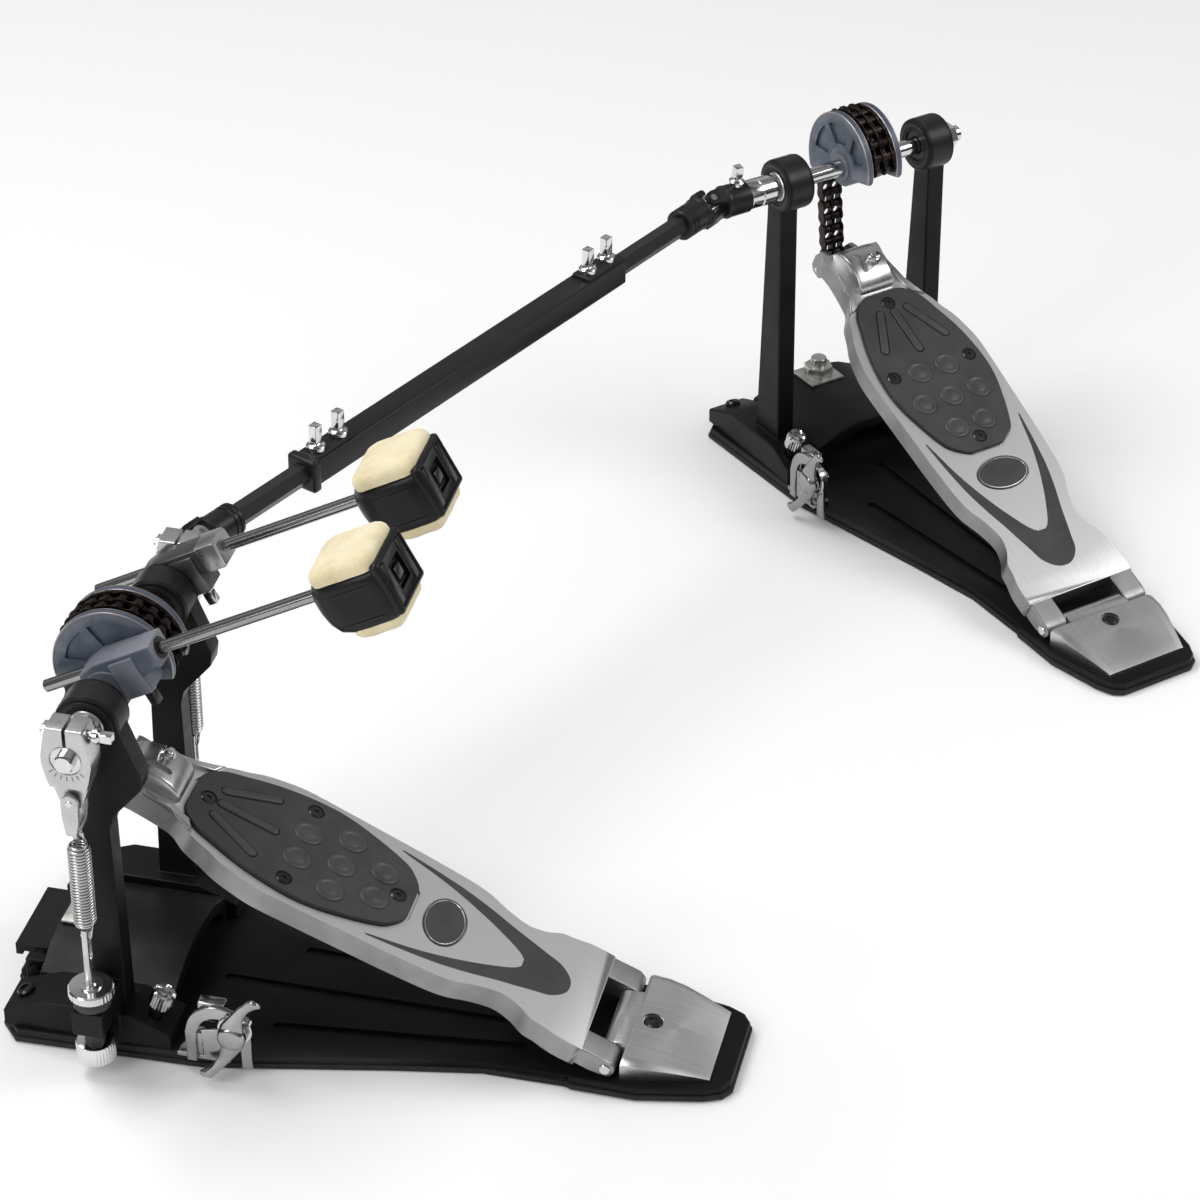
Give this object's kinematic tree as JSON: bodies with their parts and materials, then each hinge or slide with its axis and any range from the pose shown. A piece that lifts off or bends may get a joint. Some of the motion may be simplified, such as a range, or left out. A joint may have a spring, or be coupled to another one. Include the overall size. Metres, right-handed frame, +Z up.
{
  "type": "bass drum pedal",
  "caption": "Double bass drum pedal: main pedal with twin felt beaters, telescopic universal-joint drive shaft and a slave pedal, chain-and-cam drive.",
  "frame": {"origin": "on the floor plane directly below the main pedal's axle, on that pedal's centreline", "axes": "+X to the player's right along the main axle, +Y from heel to toe towards the drum, +Z up"},
  "size_m": [0.7758, 0.5568, 0.3],
  "materials": {
    "rubber": "matte moulded",
    "black_metal": "satin powder coat",
    "cast_silver": "satin cast and brushed",
    "brushed_plate": "brushed",
    "felt": "pressed felt",
    "black_plastic": "semi-matte",
    "cam_plastic": "satin slate grey",
    "chain_steel": "black oxide",
    "chrome": "polished"
  },
  "bodies": {
    "main_frame": {"main_base_plate": "black_metal", "main_rubber_mat": "rubber", "main_frame_casting": "black_metal", "main_bearings": "chrome", "main_heel_plate": "brushed_plate", "main_frame_hardware": "chrome", "main_tension_rods": "chrome", "main_tension_nuts": "chrome", "main_jaw_pin": "chrome"},
    "slave_frame": {"slave_base_plate": "black_metal", "slave_rubber_mat": "rubber", "slave_frame_casting": "black_metal", "slave_heel_plate": "brushed_plate", "slave_frame_hardware": "chrome"},
    "main_axle": {"main_axle": "chrome", "main_cam": "cam_plastic", "main_chain_wrap": "chain_steel", "main_beater_hub": "chrome", "main_hub_bolts": "chrome", "main_spring_rocker": "chrome"},
    "main_footboard": {"main_footboard": "cast_silver", "main_foot_pad": "rubber", "main_toe_clamp": "brushed_plate"},
    "main_link_1": {"main_chain_link_1": "chain_steel"},
    "main_link_2": {"main_chain_link_2": "chain_steel"},
    "main_link_3": {"main_chain_link_3": "chain_steel"},
    "main_chain_run": {"main_chain_run": "chain_steel"},
    "main_wing_screw": {"main_wing_screw": "chrome"},
    "slave_axle": {"slave_axle": "chrome", "slave_cam": "cam_plastic", "slave_chain_wrap": "chain_steel"},
    "slave_footboard": {"slave_footboard": "cast_silver", "slave_foot_pad": "rubber", "slave_toe_clamp": "brushed_plate"},
    "slave_link_1": {"slave_chain_link_1": "chain_steel"},
    "slave_link_2": {"slave_chain_link_2": "chain_steel"},
    "slave_link_3": {"slave_chain_link_3": "chain_steel"},
    "slave_chain_run": {"slave_chain_run": "chain_steel"},
    "slave_wing_screw": {"slave_wing_screw": "chrome"},
    "main_jaw": {"main_hoop_jaw": "chrome"},
    "main_spurs": {"main_spurs": "chrome"},
    "second_hub": {"second_hub": "chrome", "second_spring_rocker": "chrome", "second_hub_bolts": "chrome"},
    "main_spring_lower": {"main_spring": "chrome"},
    "main_spring_upper": {"main_stirrup": "chrome"},
    "main_beater": {"main_beater_rod": "chrome"},
    "main_beater_head": {"main_beater_block": "black_plastic", "main_beater_felts": "felt"},
    "second_spring_lower": {"second_spring": "chrome"},
    "second_spring_upper": {"second_stirrup": "chrome"},
    "second_beater": {"second_beater_rod": "chrome"},
    "second_beater_head": {"second_beater_block": "black_plastic", "second_beater_felts": "felt"},
    "drive_shaft": {"shaft_tube": "black_metal", "shaft_rod_main": "black_metal", "shaft_bolts": "chrome"},
    "shaft_inner": {"shaft_rod_slave": "black_metal"},
    "cross_main": {"cross_main": "chrome"},
    "cross_slave": {"cross_slave": "chrome"}
  },
  "joints": [
    {"name": "slave_distance", "type": "slide", "parent": "main_frame", "child": "slave_frame", "axis": [0.9191, -0.3939, 0], "range_m": [-0.06, 0.04]},
    {"name": "main_axle_turn", "type": "hinge", "parent": "main_frame", "child": "main_axle", "pos_m": [0, 0, 0.195], "axis": [-1, 0, 0], "range_deg": [0, 59]},
    {"name": "main_footboard_hinge", "type": "hinge", "parent": "main_frame", "child": "main_footboard", "pos_m": [0, -0.2487, 0.013], "axis": [-1, 0, 0], "range_deg": [0, 7]},
    {"name": "main_link_1_pin", "type": "hinge", "parent": "main_axle", "child": "main_link_1", "pos_m": [0, 0.02286, 0.21667], "axis": [1, 0, 0], "range_deg": [0, 17.2]},
    {"name": "main_link_2_pin", "type": "hinge", "parent": "main_link_1", "child": "main_link_2", "pos_m": [0, 0.02758, 0.21021], "axis": [1, 0, 0], "range_deg": [0, 17.2]},
    {"name": "main_link_3_pin", "type": "hinge", "parent": "main_link_2", "child": "main_link_3", "pos_m": [0, 0.03053, 0.20277], "axis": [1, 0, 0], "range_deg": [0, 17.2]},
    {"name": "main_run_pin", "type": "hinge", "parent": "main_link_3", "child": "main_chain_run", "pos_m": [0, 0.0315, 0.19483], "axis": [1, 0, 0], "range_deg": [0, 17.2]},
    {"name": "main_wing_turn", "type": "hinge", "parent": "main_frame", "child": "main_wing_screw", "pos_m": [-0.075, -0.07, 0.032], "axis": [-1, 0, 0], "range_deg": [-360, 360]},
    {"name": "slave_axle_turn", "type": "hinge", "parent": "slave_frame", "child": "slave_axle", "pos_m": [0.59763, -0.25393, 0.195], "axis": [-0.7127, 0.7015, 0], "range_deg": [0, 59]},
    {"name": "slave_footboard_hinge", "type": "hinge", "parent": "slave_frame", "child": "slave_footboard", "pos_m": [0.42316, -0.43118, 0.013], "axis": [-0.7127, 0.7015, 0], "range_deg": [0, 7]},
    {"name": "slave_link_1_pin", "type": "hinge", "parent": "slave_axle", "child": "slave_link_1", "pos_m": [0.61366, -0.23764, 0.21667], "axis": [0.7127, -0.7015, 0], "range_deg": [0, 17.2]},
    {"name": "slave_link_2_pin", "type": "hinge", "parent": "slave_link_1", "child": "slave_link_2", "pos_m": [0.61698, -0.23428, 0.21021], "axis": [0.7127, -0.7015, 0], "range_deg": [0, 17.2]},
    {"name": "slave_link_3_pin", "type": "hinge", "parent": "slave_link_2", "child": "slave_link_3", "pos_m": [0.61904, -0.23218, 0.20277], "axis": [0.7127, -0.7015, 0], "range_deg": [0, 17.2]},
    {"name": "slave_run_pin", "type": "hinge", "parent": "slave_link_3", "child": "slave_chain_run", "pos_m": [0.61972, -0.23148, 0.19483], "axis": [0.7127, -0.7015, 0], "range_deg": [0, 17.2]},
    {"name": "slave_wing_turn", "type": "hinge", "parent": "slave_frame", "child": "slave_wing_screw", "pos_m": [0.49507, -0.25121, 0.032], "axis": [-0.7127, 0.7015, 0], "range_deg": [-360, 360]},
    {"name": "hoop_jaw_tilt", "type": "hinge", "parent": "main_frame", "child": "main_jaw", "pos_m": [0, 0.049, 0.018], "axis": [-1, 0, 0], "range_deg": [-7.5, 7.5]},
    {"name": "main_spur_height", "type": "slide", "parent": "main_frame", "child": "main_spurs", "axis": [0, 0.3401, -0.9404], "range_m": [-0.004, 0.006]},
    {"name": "second_hub_turn", "type": "hinge", "parent": "main_frame", "child": "second_hub", "pos_m": [0.068, 0, 0.195], "axis": [-1, 0, 0], "range_deg": [0, 59.9]},
    {"name": "main_spring_swing", "type": "hinge", "parent": "main_frame", "child": "main_spring_lower", "pos_m": [-0.081, 0, 0.084], "axis": [1, 0, 0], "range_deg": [0, 12.62]},
    {"name": "main_spring_stretch", "type": "slide", "parent": "main_spring_lower", "child": "main_spring_upper", "axis": [0, 0, 1], "range_m": [0, 0.01464], "deforming": ["main_spring"]},
    {"name": "main_beater_height", "type": "slide", "parent": "main_axle", "child": "main_beater", "axis": [0, -0.8788, 0.4772], "range_m": [-0.02, 0.02]},
    {"name": "main_beater_head_turn", "type": "hinge", "parent": "main_beater", "child": "main_beater_head", "pos_m": [-0.021, 0.00429, 0.20291], "axis": [0, -0.8788, 0.4772], "continuous": true},
    {"name": "second_spring_swing", "type": "hinge", "parent": "main_frame", "child": "second_spring_lower", "pos_m": [0.084, 0, 0.084], "axis": [1, 0, 0], "range_deg": [0, 12.67]},
    {"name": "second_spring_stretch", "type": "slide", "parent": "second_spring_lower", "child": "second_spring_upper", "axis": [0, 0, 1], "range_m": [0, 0.01491], "deforming": ["second_spring"]},
    {"name": "second_beater_height", "type": "slide", "parent": "second_hub", "child": "second_beater", "axis": [0, -0.8788, 0.4772], "range_m": [-0.02, 0.02]},
    {"name": "second_beater_head_turn", "type": "hinge", "parent": "second_beater", "child": "second_beater_head", "pos_m": [0.068, 0.00429, 0.20291], "axis": [0, -0.8788, 0.4772], "continuous": true},
    {"name": "drive_shaft_turn", "type": "hinge", "parent": "main_frame", "child": "drive_shaft", "pos_m": [0.104, 0, 0.195], "axis": [-0.9191, 0.3939, 0], "range_deg": [0, 55.8]},
    {"name": "cross_main_turn", "type": "hinge", "parent": "drive_shaft", "child": "cross_main", "pos_m": [0.104, 0, 0.195], "axis": [-0.3485, -0.8132, -0.4662], "range_deg": [0, 22.8]},
    {"name": "shaft_telescope", "type": "slide", "parent": "drive_shaft", "child": "shaft_inner", "axis": [0.9191, -0.3939, 0], "range_m": [-0.06, 0.04]},
    {"name": "cross_slave_turn", "type": "hinge", "parent": "shaft_inner", "child": "cross_slave", "pos_m": [0.52137, -0.17887, 0.195], "axis": [-0.3485, -0.8132, -0.4662], "range_deg": [-20.9, 0]}
  ],
  "couplings": [
    {"joint": "main_footboard_hinge", "follows": "main_axle_turn", "ratio": 0.11608},
    {"joint": "main_link_1_pin", "follows": "main_axle_turn", "ratio": 0.28906},
    {"joint": "main_link_2_pin", "follows": "main_axle_turn", "ratio": 0.28906},
    {"joint": "main_link_3_pin", "follows": "main_axle_turn", "ratio": 0.28906},
    {"joint": "main_run_pin", "follows": "main_axle_turn", "ratio": 0.28906},
    {"joint": "slave_footboard_hinge", "follows": "slave_axle_turn", "ratio": 0.11608},
    {"joint": "slave_link_1_pin", "follows": "slave_axle_turn", "ratio": 0.28906},
    {"joint": "slave_link_2_pin", "follows": "slave_axle_turn", "ratio": 0.28906},
    {"joint": "slave_link_3_pin", "follows": "slave_axle_turn", "ratio": 0.28906},
    {"joint": "slave_run_pin", "follows": "slave_axle_turn", "ratio": 0.28906},
    {"joint": "hoop_jaw_tilt", "follows": "main_wing_turn", "ratio": 0.02},
    {"joint": "second_hub_turn", "follows": "slave_axle_turn", "ratio": 1.0111},
    {"joint": "main_spring_swing", "follows": "main_axle_turn", "ratio": 0.2088},
    {"joint": "main_spring_stretch", "follows": "main_axle_turn", "m_per_rad": 0.01402},
    {"joint": "second_spring_swing", "follows": "slave_axle_turn", "ratio": 0.20967},
    {"joint": "second_spring_stretch", "follows": "slave_axle_turn", "m_per_rad": 0.014282},
    {"joint": "drive_shaft_turn", "follows": "slave_axle_turn", "ratio": 0.94193},
    {"joint": "cross_main_turn", "follows": "slave_axle_turn", "ratio": 0.38301},
    {"joint": "shaft_telescope", "follows": "slave_distance", "ratio": 1},
    {"joint": "cross_slave_turn", "follows": "slave_axle_turn", "ratio": -0.35006}
  ]
}
